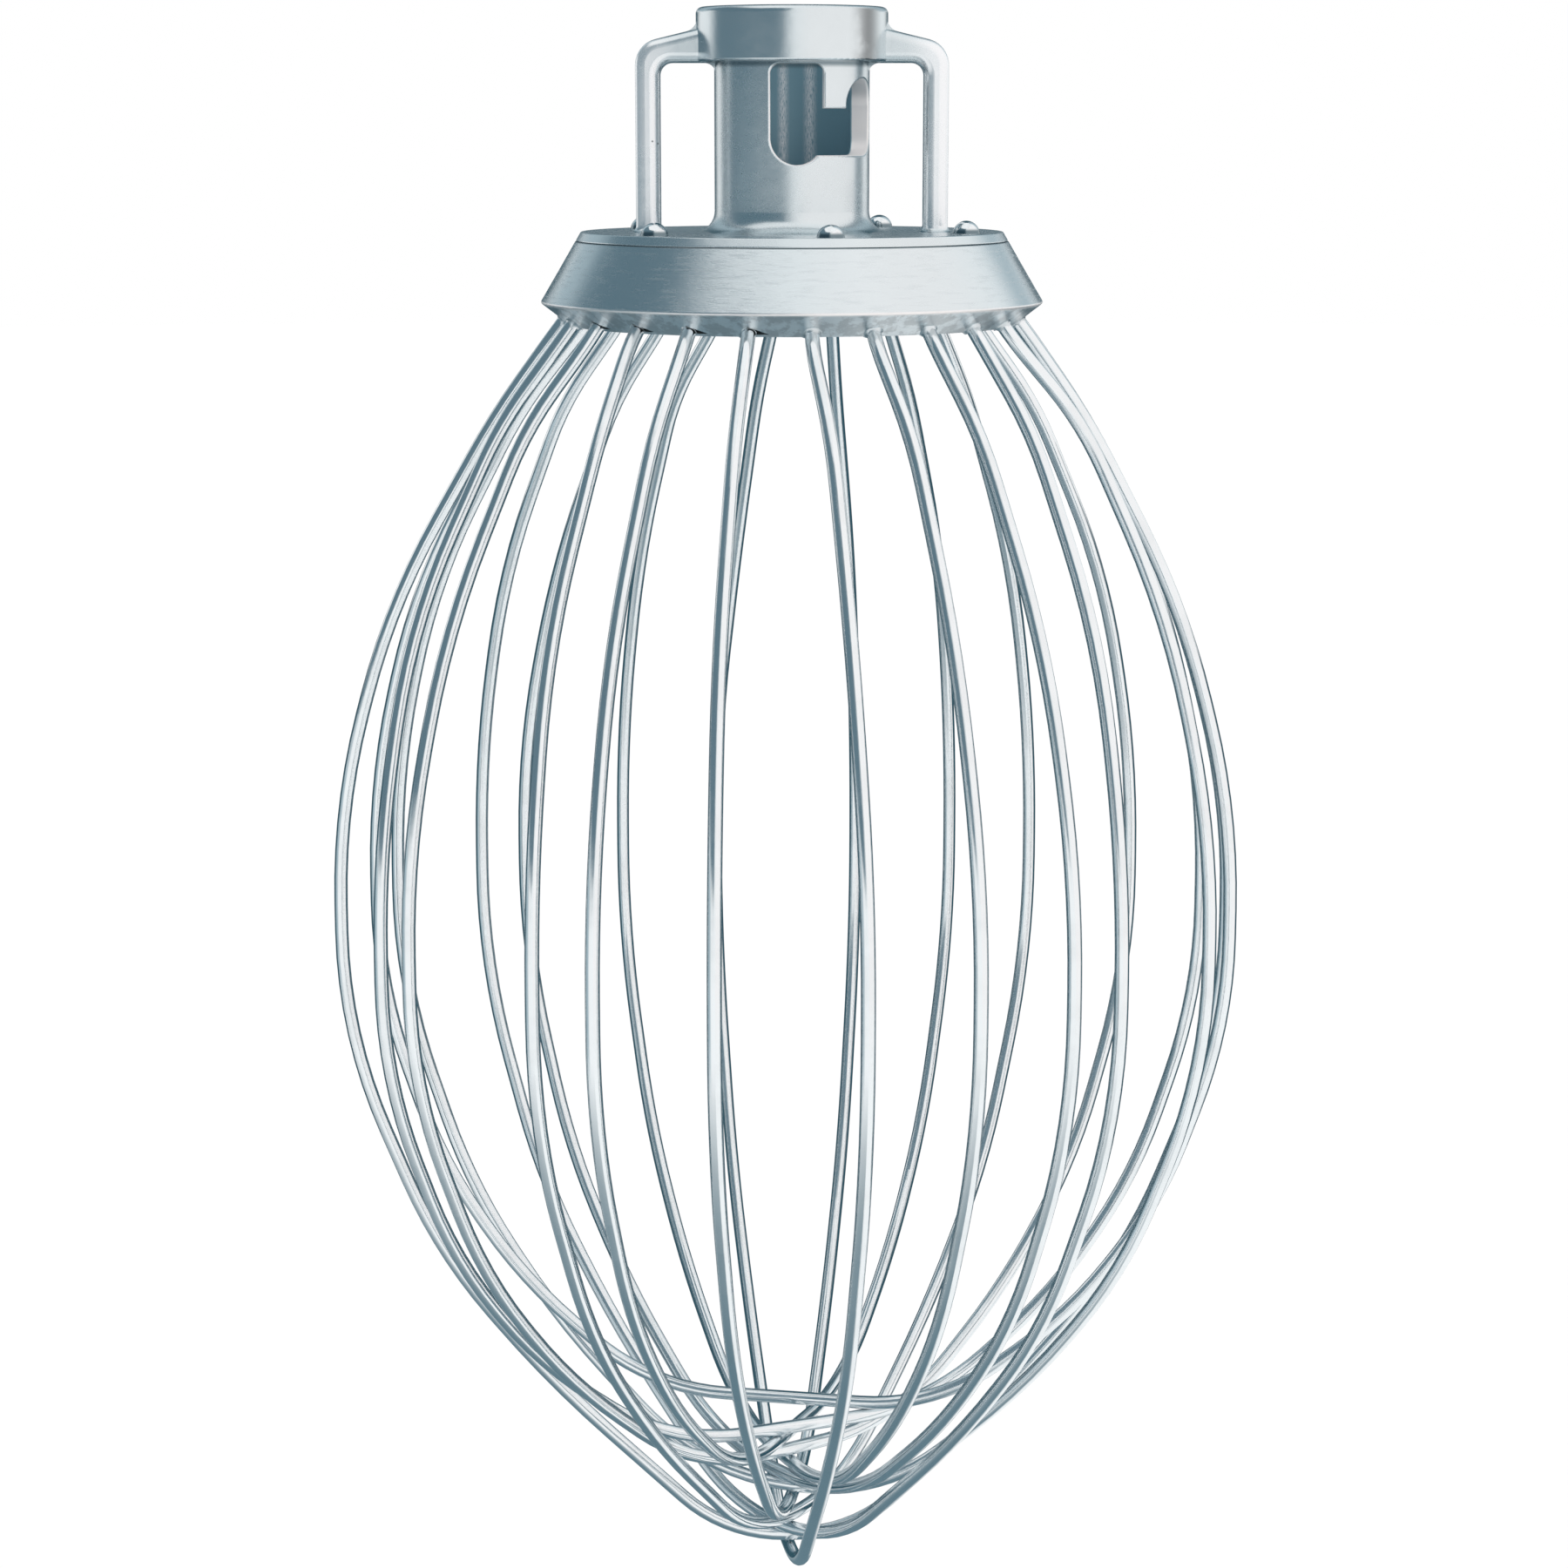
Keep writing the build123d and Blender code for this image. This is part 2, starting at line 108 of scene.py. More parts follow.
# Cards that stand round the whip and show only in the metal: name, colour, how far out, first and
# last turn, lowest and highest point, and the widths over which they fade at the ends, in degrees,
# and at the top and bottom
CARD_STEPS = 48
UPRIGHT_CARDS = (
    ("card_behind_low", "edge_card_colour", 0.95, (84.0, 276.0), (-1.05, -0.13), (18.0, 0.06)),
    ("card_behind", "edge_card_colour", 1.30, (144.0, 218.0), (-0.22, 0.16), (12.0, 0.08)),
    ("card_behind_top", "edge_card_colour", 1.40, (148.0, 212.0), (0.10, 3.00), (20.0, 0.20)),
    ("card_behind_wide", "wire_card_colour", 1.42, (120.0, 240.0), (0.10, 3.00), (18.0, 0.20)),
    ("card_left_low", "wire_card_colour", 1.45, (-178.0, -40.0), (-0.95, -0.12), (30.0, 0.24)),
    ("card_left", "card_colour", 1.50, (-120.0, 6.0), (-0.25, 1.80), (22.0, 0.10)),
    ("card_left_top", "card_colour", 1.55, (-152.0, -58.0), (0.30, 2.30), (24.0, 0.30)),
    ("card_right", "pale_card_colour", 1.60, (0.0, 120.0), (-0.95, 2.60), (24.0, 0.40)),
)


def point_at(radius, turn, height):
    """A point at a radius, a turn from -Y towards +X, and a height."""
    angle = math.radians(turn)
    return Vector((radius * math.sin(angle), -radius * math.cos(angle), height))


def rgba(colour):
    """A colour with a full alpha."""
    return (*colour, 1.0)


def shade(colour, share):
    """A colour made darker or lighter by one share."""
    return rgba([channel * share for channel in colour])


class Channel:
    """One output of a shader node. Sums of channels are written as plain sums."""

    def __init__(self, finish, socket):
        self.finish = finish
        self.socket = socket

    def joined(self, operation, *others):
        """This channel and others through one Math node."""
        sockets = dict(enumerate((self,) + others))
        return self.finish.add("ShaderNodeMath", {"operation": operation}, sockets)

    def __add__(self, other):
        return self.joined("ADD", other)

    __radd__ = __add__

    def __mul__(self, other):
        return self.joined("MULTIPLY", other)

    __rmul__ = __mul__

    def __sub__(self, other):
        return self.joined("SUBTRACT", other)

    def __rsub__(self, other):
        return self.finish.add("ShaderNodeMath", {"operation": "SUBTRACT"}, {0: other, 1: self})

    def __pow__(self, other):
        return self.joined("POWER", other)

    def __neg__(self):
        return self * -1.0

    def __abs__(self):
        return self.joined("ABSOLUTE")

    def larger(self, other):
        """This channel or another, whichever is higher."""
        return self.joined("MAXIMUM", other)

    def above(self, level, softness):
        """0 below a level and 1 above it, with a soft step between."""
        low, high = level - softness / 2, level + softness / 2
        settings = {"interpolation_type": "SMOOTHSTEP"}
        sockets = {"Value": self, "From Min": low, "From Max": high}
        return self.finish.add("ShaderNodeMapRange", settings, sockets)

    def below(self, level, softness):
        """1 below a level and 0 above it, with a soft step between."""
        return 1.0 - self.above(level, softness)

    def near(self, level, width):
        """1 at a level, falling softly to 0 at a width from it."""
        return 1.0 - abs(self - level).above(width / 2, width)


class Finish:
    """A material, built node by node."""

    def __init__(self, name):
        self.material = bpy.data.materials.new(name)
        self.material.use_nodes = True
        self.tree = self.material.node_tree
        self.tree.nodes.clear()

    def add(self, kind, settings=None, sockets=None, output=0):
        """Adds a node, sets it, fills or links its sockets, and gives an output, if it has any."""
        node = self.tree.nodes.new(kind)
        for name, value in (settings or {}).items():
            setattr(node, name, value)
        for name, value in (sockets or {}).items():
            if isinstance(value, Channel):
                self.tree.links.new(value.socket, node.inputs[name])
            else:
                node.inputs[name].default_value = value
        return Channel(self, node.outputs[output]) if len(node.outputs) else None

    def add_output(self, shader):
        """Ends the material with a shader."""
        self.add("ShaderNodeOutputMaterial", None, {"Surface": shader})

    def outputs(self, channel, *names):
        """The named outputs of the node that a channel comes from."""
        return [Channel(self, channel.socket.node.outputs[name]) for name in names]

    def place(self):
        """Where a point lies in the part's frame."""
        return self.add("ShaderNodeTexCoord", output="Object")

    def split(self, vector):
        """The x, y and z of a vector."""
        return self.outputs(self.add("ShaderNodeSeparateXYZ", None, {0: vector}), "X", "Y", "Z")

    def vector(self, x, y, z):
        """A vector from its x, y and z."""
        return self.add("ShaderNodeCombineXYZ", None, {0: x, 1: y, 2: z})

    def noise(self, vector, scale, detail, roughness):
        """Soft noise from 0 to 1. The scale is in cells for each metre."""
        sockets = {"Vector": vector, "Scale": scale, "Detail": detail, "Roughness": roughness}
        return self.add("ShaderNodeTexNoise", None, sockets)

    def lines(self, turn, z, stretch, scale, detail, roughness):
        """Noise drawn out round the shaft. The smaller the stretch, the longer its lines."""
        return self.noise(self.vector(turn * stretch, 0.0, z), scale, detail, roughness)

    def cells(self, vector, scale):
        """Distance to the nearest of many scattered points, in cells."""
        return self.add("ShaderNodeTexVoronoi", None, {"Vector": vector, "Scale": scale})

    def blend(self, share, first, second):
        """A colour between two others."""
        settings = {"data_type": "RGBA", "blend_type": "MIX"}
        return self.add("ShaderNodeMix", settings, {0: share, 6: first, 7: second}, output=2)

    def mottled(self, share, colour, darkest):
        """A colour that turns by a share into a darker shade of itself."""
        return self.blend(share, rgba(colour), shade(colour, darkest))

    def raised(self, height, depth, normal=None):
        """A normal from a height from 0 to 1 and the depth that it stands for."""
        sockets = {"Height": height, "Distance": depth, "Strength": 1.0}
        if normal:
            sockets["Normal"] = normal
        return self.add("ShaderNodeBump", None, sockets)

    def metal(self, colour, roughness, normal, anisotropy=0.0, metallic=1.0):
        """A bare metal skin, and the material's output."""
        sockets = {"Base Color": colour, "Roughness": roughness, "Metallic": metallic,
                   "Normal": normal, "Anisotropic": anisotropy}
        self.add_output(self.add("ShaderNodeBsdfPrincipled", None, sockets))
        return self.material


def turn_of(x, y):
    """The turn about the shaft, in radians."""
    return x.joined("ARCTAN2", -y)


def level_distance(x, y):
    """How far off x and y lead, seen from above."""
    return (x * x + y * y) ** 0.5


def casting_finish(look):
    """Satin cast aluminium with fine grain and faint pits. The collar and the bore are turned. The
    handles carry a painted sheen, the slot's walls a painted highlight and the collar a painted
    dark reflection. The bore wall is painted in shade with pale speckled strips, and painted shade
    lies under the collar, in the seam at the ring's top and round the rivets."""
    finish = Finish("satin_cast_aluminium")
    place = finish.place()
    x, y, z = finish.split(place)
    turn = turn_of(x, y)
    distance = level_distance(x, y)

    grain = finish.noise(place, 1500.0, 3.0, 0.6)
    swell = finish.noise(place, 90.0, 2.0, 0.5)
    clouds = finish.noise(place, 38.0, 4.0, 0.6)
    pits = finish.cells(place, 260.0).below(0.10, 0.06)
    pits = pits * finish.noise(place, 70.0, 1.0, 0.5).above(0.66, 0.06)

    on_collar = distance.above(COLLAR_RADIUS - 0.4 * MM, 0.5 * MM)
    on_collar = on_collar * z.above(-COLLAR_HEIGHT, 0.4 * MM)
    on_collar = on_collar * distance.below(COLLAR_RADIUS + 1.2 * MM, 0.6 * MM)
    in_bore = distance.below(BORE_RADIUS + 0.25 * MM, 0.2 * MM)
    in_slot = distance.above(BORE_RADIUS + 0.4 * MM, 0.2 * MM)
    in_slot = in_slot * distance.below(TUBE_RADIUS - 0.2 * MM, 0.2 * MM)
    in_slot = in_slot * z.near(-(COLLAR_HEIGHT + HUB_HEIGHT) / 2, HUB_HEIGHT - COLLAR_HEIGHT)
    on_handle = abs(x).above(TUBE_RADIUS + HANDLE_FROM_TUBE, 12.0 * MM)
    on_handle = on_handle * z.above(1.5 * MM - HUB_HEIGHT, 2.0 * MM)
    turned = on_collar.larger(in_bore)
    rings = finish.lines(turn, z, 0.01, 2600.0, 3.0, 0.7)

    height = grain * (1.0 - turned * 0.8) - pits * 8.0 + rings * turned * 2.0
    normal = finish.raised(height, 0.0035 * MM)
    normal = finish.raised(swell + clouds * 1.5, 0.09 * MM, normal)
    roughness = look.hub_roughness + (clouds - 0.5) * 0.16 + (grain - 0.5) * 0.06
    roughness = roughness - on_collar * 0.04 + in_bore * 0.22 + in_slot * 0.20 + pits * 0.2
    metallic = 1.0 - on_handle * 0.22 - in_slot * 0.60 - in_bore * 0.70

    tint = finish.mottled(clouds.above(0.5, 0.5) * 0.5, look.hub_colour, 0.9)
    # Painted sheen: the handles are tinted paler, and made less metallic, than the rest of the
    # casting.
    tint = finish.blend(on_handle, tint, rgba(look.handle_colour))
    tint = finish.blend(pits, tint, shade(look.hub_colour, 0.35))
    # Painted highlight: the slot's walls are tinted near white.
    tint = finish.blend(in_slot, tint, rgba(look.painted_highlight_colour))

    # Painted shade: the bore wall is tinted dark slate, broken by pale speckled strips near the
    # back.
    left, right = (turn.near(middle, reach) for middle, reach in SPECKLED_STRIPS)
    speckled = finish.noise(finish.vector(turn * 0.05, 0.0, z * 0.35), 1300.0, 5.0, 0.8)
    speckled = speckled.above(0.47, 0.14) * left.larger(right)
    shaded = finish.blend(speckled, rgba(look.bore_shade_colour), rgba(look.handle_colour))
    tint = finish.blend(in_bore, tint, shaded)
    # Painted reflection: a mottled dark patch on the collar.
    painted_reflection = on_collar * turn.near(*COLLAR_REFLECTION) * clouds.above(0.36, 0.2)
    tint = finish.blend(painted_reflection, tint, shade(look.hub_colour, 0.36))

    # Painted shade: a dark band on the tube under the collar, a dark line in the seam at the ring's
    # top, and a dark ring round the foot of each rivet head.
    painted_shade = z.near(-COLLAR_HEIGHT - 0.8 * MM, 1.8 * MM)
    painted_shade = painted_shade * distance.below(TUBE_RADIUS + 3.0 * MM, 1.0 * MM)
    painted_shade = painted_shade.larger(z.near(RING_TOP, SEAM_SHADE_WIDTH))
    for name in RIVETS:
        low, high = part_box(name)
        centre = (low + high) / 2
        from_rivet = level_distance(x - centre.x, y - centre.y)
        foot = from_rivet.near((high.x - low.x) / 2, RIVET_SHADE_WIDTH)
        painted_shade = painted_shade.larger(foot * z.above(-HUB_HEIGHT - 1.0 * MM, 0.5 * MM))
    tint = finish.blend(painted_shade * 0.8, tint, rgba(look.painted_shade_colour))
    return finish.metal(tint, roughness, normal, metallic=metallic)


def brushed_finish(look):
    """Turned aluminium, brushed round the shaft, with a painted highlight on the edge between cone
    and bevel, patches of painted shade on the bevel and painted shade in the seam under the flange."""
    finish = Finish("brushed_aluminium")
    place = finish.place()
    x, y, z = finish.split(place)
    turn = turn_of(x, y)
    on_bevel = z.below(RING_EDGE_HEIGHT, 0.3 * MM)
    on_edge = z.near(RING_EDGE_HEIGHT, 0.9 * MM)

    wide = finish.lines(turn, z, 0.06, 300.0, 2.0, 0.6)
    fine = finish.lines(turn, z, 0.02, 2400.0, 4.0, 0.75)
    streaks = finish.lines(turn, z, 0.008, 900.0, 2.0, 0.6).above(0.6, 0.25)
    clouds = finish.noise(place, 45.0, 3.0, 0.6)
    bevel_shade = finish.noise(place, 160.0, 4.0, 0.7).above(0.50, 0.14)

    normal = finish.raised(fine * 0.8 + wide * 0.6 + clouds * 1.2, 0.03 * MM)
    roughness = look.ring_roughness + (fine - 0.5) * 0.16 + streaks * 0.10 + (clouds - 0.5) * 0.14
    roughness = roughness + on_bevel * 0.10 + on_edge * 0.20
    tint = finish.mottled(streaks * 0.35, look.ring_colour, 0.86)
    # Painted shade: dark patches on the downward-facing bevel.
    tint = finish.blend(on_bevel * bevel_shade * 0.6, tint, shade(look.ring_colour, 0.55))
    # Painted highlight: a near-white line along the edge between cone and bevel.
    tint = finish.blend(on_edge * 0.9, tint, rgba(look.painted_highlight_colour))
    # Painted shade: a dark line in the seam at the ring's top.
    painted_shade = z.near(RING_TOP, SEAM_SHADE_WIDTH)
    tint = finish.blend(painted_shade * 0.75, tint, rgba(look.painted_shade_colour))
    return finish.metal(tint, roughness, normal, anisotropy=0.35)


def wire_finish(look):
    """Drawn steel wire, polished by use, with dulled patches and fine draw lines that fade out
    towards the nose."""
    finish = Finish("polished_steel_wire")
    place = finish.place()
    x, y, z = finish.split(place)
    along = finish.vector(turn_of(x, y) * 0.4, level_distance(x, y), z * 0.04)

    drawn = finish.noise(along, 1400.0, 3.0, 0.7)
    drawn = (drawn - 0.5) * z.above(NOSE_HEIGHT, 0.10)
    patches = finish.noise(place, 60.0, 3.0, 0.6).above(0.55, 0.3)
    dull = finish.noise(place, 22.0, 2.0, 0.5).above(0.5, 0.4)

    normal = finish.raised(drawn * 0.8 + patches * 0.4, 0.012 * MM)
    roughness = look.wire_roughness + drawn * 0.12 + patches * 0.08 + dull * 0.06
    tint = finish.mottled(patches * 0.4, look.wire_colour, 0.88)
    return finish.metal(tint, roughness, normal)


def rivet_finish(look):
    """Bright rivet heads with a few set marks, and painted shade at the foot."""
    finish = Finish("bright_rivet_steel")
    place = finish.place()
    marks = finish.noise(place, 700.0, 3.0, 0.6)
    clouds = finish.noise(place, 160.0, 2.0, 0.5)
    normal = finish.raised(marks * 0.5 + clouds, 0.05 * MM)
    roughness = look.rivet_roughness + (clouds - 0.5) * 0.14
    tint = finish.mottled(marks.above(0.55, 0.2) * 0.4, look.wire_colour, 0.8)
    _, _, z = finish.split(place)
    # Painted shade: the foot of each rivet head is tinted dark.
    foot = z.below(1.3 * MM - HUB_HEIGHT, 1.2 * MM)
    tint = finish.blend(foot * 0.9, tint, rgba(look.painted_shade_colour))
    return finish.metal(tint, roughness, normal)


def bead_finish(look):
    """Solder run round each wire, a little duller than the ring."""
    finish = Finish("solder_bead")
    place = finish.place()
    lumps = finish.noise(place, 520.0, 3.0, 0.6)
    clouds = finish.noise(place, 130.0, 2.0, 0.5)
    normal = finish.raised(lumps, 0.16 * MM)
    roughness = look.bead_roughness + (clouds - 0.5) * 0.2
    tint = finish.mottled(clouds.above(0.5, 0.3) * 0.6, look.ring_colour, 0.78)
    return finish.metal(tint, roughness, normal)


def dress(names, material):
    """Gives CAD nodes one material."""
    for name in names:
        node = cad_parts[name]
        node.data.materials.clear()
        node.data.materials.append(material)


def made_object(name, mesh_builder, material):
    """A new object from a mesh under construction."""
    mesh = bpy.data.meshes.new(name)
    mesh_builder.to_mesh(mesh)
    mesh_builder.free()
    mesh.materials.append(material)
    made = bpy.data.objects.new(name, mesh)
    bpy.context.scene.collection.objects.link(made)
    return made


class WhipFinishes(bpy.types.PropertyGroup):
    """Colours and polish of the metals."""

    hub_colour: FloatVectorProperty(
        name="Hub Colour", description="Colour of the cast hub", subtype="COLOR", size=3,
        min=0.0, max=1.0, default=(0.72, 0.785, 0.81))
    hub_roughness: FloatProperty(
        name="Hub Roughness", description="How satin the casting is", subtype="FACTOR",
        min=0.0, max=1.0, default=0.27)
    # Painted sheen on the handles; the same pale colour paints the bore's speckled strips.
    handle_colour: FloatVectorProperty(
        name="Handle Colour", description="Colour of the handles and the bore's rubbed strips",
        subtype="COLOR", size=3, min=0.0, max=1.0, default=(0.88, 0.91, 0.93))
    # Painted shade inside the bore.
    bore_shade_colour: FloatVectorProperty(
        name="Bore Colour", description="Colour of the stained wall inside the bore",
        subtype="COLOR", size=3, min=0.0, max=1.0, default=(0.235, 0.40, 0.48))
    ring_colour: FloatVectorProperty(
        name="Ring Colour", description="Colour of the turned ring and of the solder",
        subtype="COLOR", size=3, min=0.0, max=1.0, default=(0.72, 0.785, 0.81))
    # Painted highlight on the ring's lower edge and the slot's walls.
    painted_highlight_colour: FloatVectorProperty(
        name="Painted Highlight Colour", description="Colour of the ring's lower edge and the slot's walls",
        subtype="COLOR", size=3, min=0.0, max=1.0, default=(0.97, 0.94, 0.93))
    ring_roughness: FloatProperty(
        name="Ring Roughness", description="How satin the turned ring is", subtype="FACTOR",
        min=0.0, max=1.0, default=0.22)
    # Painted shade under the collar, in the seams and round the rivet feet.
    painted_shade_colour: FloatVectorProperty(
        name="Painted Shade Colour", description="Colour of the shading in seams and round rivet heads",
        subtype="COLOR", size=3, min=0.0, max=1.0, default=(0.10, 0.16, 0.19))
    wire_colour: FloatVectorProperty(
        name="Wire Colour", description="Colour of the steel wires and rivets",
        subtype="COLOR", size=3, min=0.0, max=1.0, default=(0.84, 0.885, 0.905))
    wire_roughness: FloatProperty(
        name="Wire Roughness", description="How dull the wires are", subtype="FACTOR",
        min=0.0, max=1.0, default=0.10)
    rivet_roughness: FloatProperty(
        name="Rivet Roughness", description="How dull the rivet heads are", subtype="FACTOR",
        min=0.0, max=1.0, default=0.14)
    bead_roughness: FloatProperty(
        name="Bead Roughness", description="How dull the solder is", subtype="FACTOR",
        min=0.0, max=1.0, default=0.36)


class WhipBeads(bpy.types.PropertyGroup):
    """Sizes of the solder that runs round each wire where it leaves the ring."""

    reach: FloatProperty(
        name="Reach", description="How far a bead spreads from the wire", subtype="DISTANCE",
        unit="LENGTH", default=1.5 * MM)
    rise: FloatProperty(
        name="Rise", description="How far a bead climbs the wire", subtype="DISTANCE",
        unit="LENGTH", default=1.8 * MM)


class WhipStage(bpy.types.PropertyGroup):
    """The floor, the cards that the metal reflects, the lamp and the camera."""

    floor_height: FloatProperty(
        name="Floor Height", description="Height of the floor under the hung whip",
        subtype="DISTANCE", unit="LENGTH", default=-0.90)
    card_colour: FloatVectorProperty(
        name="Card Colour", description="Colour of the dark cards on the left",
        subtype="COLOR", size=3, min=0.0, max=1.0, default=(0.13, 0.205, 0.25))
    wire_card_colour: FloatVectorProperty(
        name="Wire Card Colour", description="Colour of the mid-tone cards, low left and behind",
        subtype="COLOR", size=3, min=0.0, max=1.0, default=(0.42, 0.52, 0.57))
    low_card_colour: FloatVectorProperty(
        name="Low Card Colour", description="Colour of the card that lies under the whip",
        subtype="COLOR", size=3, min=0.0, max=1.0, default=(0.14, 0.225, 0.27))
    edge_card_colour: FloatVectorProperty(
        name="Edge Card Colour", description="Colour of the cards behind that draw the dark edges",
        subtype="COLOR", size=3, min=0.0, max=1.0, default=(0.035, 0.09, 0.12))
    pale_card_colour: FloatVectorProperty(
        name="Pale Card Colour", description="Colour of the warm white card on the right",
        subtype="COLOR", size=3, min=0.0, max=2.0, default=(1.05, 1.01, 1.0))
    lamp_strength: FloatProperty(
        name="Lamp Strength", description="Brightness of the large soft lamp's face",
        min=0.0, default=0.12)
    low_card_radius: FloatProperty(
        name="Low Card Radius", description="Size of the card that lies under the whip",
        subtype="DISTANCE", unit="LENGTH", default=1.9)
    low_card_setback: FloatProperty(
        name="Low Card Setback", description="How far behind the whip the low card's middle lies",
        subtype="DISTANCE", unit="LENGTH", default=0.20)
    lens: FloatProperty(
        name="Lens", description="Focal length for a frame 36 mm wide", default=80.0)
    camera_place: FloatVectorProperty(
        name="Camera Place", description="Where the camera stands", subtype="TRANSLATION",
        unit="LENGTH", size=3, default=(-0.0027, -1.2075, -0.0373))
    camera_tilt: FloatProperty(
        name="Camera Tilt", description="How far the camera looks down", subtype="ANGLE",
        unit="ROTATION", default=math.radians(10.80))


class WHIP_OT_hub(bpy.types.Operator):
    """Finishes the cast hub"""

    bl_idname = "wire_whip.hub"
    bl_label = "Hub"

    def execute(self, context):
        dress([HUB], casting_finish(context.scene.whip_finishes))
        return {"FINISHED"}


class WHIP_OT_ring(bpy.types.Operator):
    """Finishes the turned ring that carries the wires"""

    bl_idname = "wire_whip.ring"
    bl_label = "Ring"

    def execute(self, context):
        dress([RING], brushed_finish(context.scene.whip_finishes))
        return {"FINISHED"}


class WHIP_OT_rivets(bpy.types.Operator):
    """Finishes the rivets"""

    bl_idname = "wire_whip.rivets"
    bl_label = "Rivets"

    def execute(self, context):
        dress(RIVETS, rivet_finish(context.scene.whip_finishes))
        return {"FINISHED"}


class WHIP_OT_wires(bpy.types.Operator):
    """Finishes the wire loops"""

    bl_idname = "wire_whip.wires"
    bl_label = "Wires"

    def execute(self, context):
        dress(WIRES, wire_finish(context.scene.whip_finishes))
        return {"FINISHED"}


class WHIP_OT_beads(bpy.types.Operator):
    """Runs solder round each wire where it leaves the ring"""

    bl_idname = "wire_whip.beads"
    bl_label = "Solder Beads"

    # A bead's top ends just inside the wire, and its foot just inside the bevel
    sides = 28
    rings = 6
    top_radius = WIRE_RADIUS * 0.97
    sunk = 0.25 * MM

    # Waves that make a bead uneven: least and greatest size, and how many run round it
    wave_sizes = (0.06, 0.20)
    wave_counts = (1, 2, 3, 5)

    # The side of a bead that a notch cuts off, as a cosine, and the share that is left there
    notch_side = -0.3
    notch_share = 0.12

    def execute(self, context):
        sizes = context.scene.whip_beads
        builder = bmesh.new()
        chance = random.Random(7)
        for end in range(WIRE_ENDS):
            turn = FIRST_WIRE_TURN + end * 360.0 / WIRE_ENDS
            self.add_bead(builder, turn, sizes, chance, end in NOTCHED_ENDS)
        beads = made_object("solder_beads", builder, bead_finish(context.scene.whip_finishes))
        for face in beads.data.polygons:
            face.use_smooth = True
        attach(beads, BODY)
        return {"FINISHED"}

    def add_bead(self, builder, turn, sizes, chance, notched):
        """One uneven fillet between the bevel and a wire, at a turn about the shaft. Where the ring
        has a notch beside the wire, the solder stays clear of it."""
        exit_radius = RING_EDGE_RADIUS - WIRE_FROM_BEVEL_EDGE * math.cos(WIRE_LEAN)
        exit_height = RING_EDGE_HEIGHT - WIRE_FROM_BEVEL_EDGE * math.sin(WIRE_LEAN)
        centre = point_at(exit_radius, turn, exit_height)
        outward = point_at(math.sin(WIRE_LEAN), turn, -math.cos(WIRE_LEAN))
        aside = point_at(1.0, turn + 90.0, 0.0)
        across = outward.cross(aside)
        waves = [(chance.uniform(*self.wave_sizes), chance.uniform(0, math.tau), count)
                 for count in self.wave_counts]
        rows = []
        for ring in range(self.rings):
            climb = ring / (self.rings - 1)
            spread = 1.0 - math.sin(climb * math.pi / 2)
            lift = 1.0 - math.cos(climb * math.pi / 2)
            row = []
            for side in range(self.sides):
                angle = math.tau * side / self.sides
                swell = 1.0 + sum(size * math.sin(count * angle + start)
                                  for size, start, count in waves)
                if notched and math.cos(angle) > self.notch_side:
                    swell = swell * self.notch_share
                out = self.top_radius + sizes.reach * swell * spread
                up = sizes.rise * swell * lift - self.sunk
                direction = aside * math.cos(angle) + across * math.sin(angle)
                row.append(builder.verts.new(centre + direction * out + outward * up))
            rows.append(row)
        for lower, upper in zip(rows, rows[1:]):
            for side in range(self.sides):
                after = (side + 1) % self.sides
                builder.faces.new((lower[side], lower[after], upper[after], upper[side]))


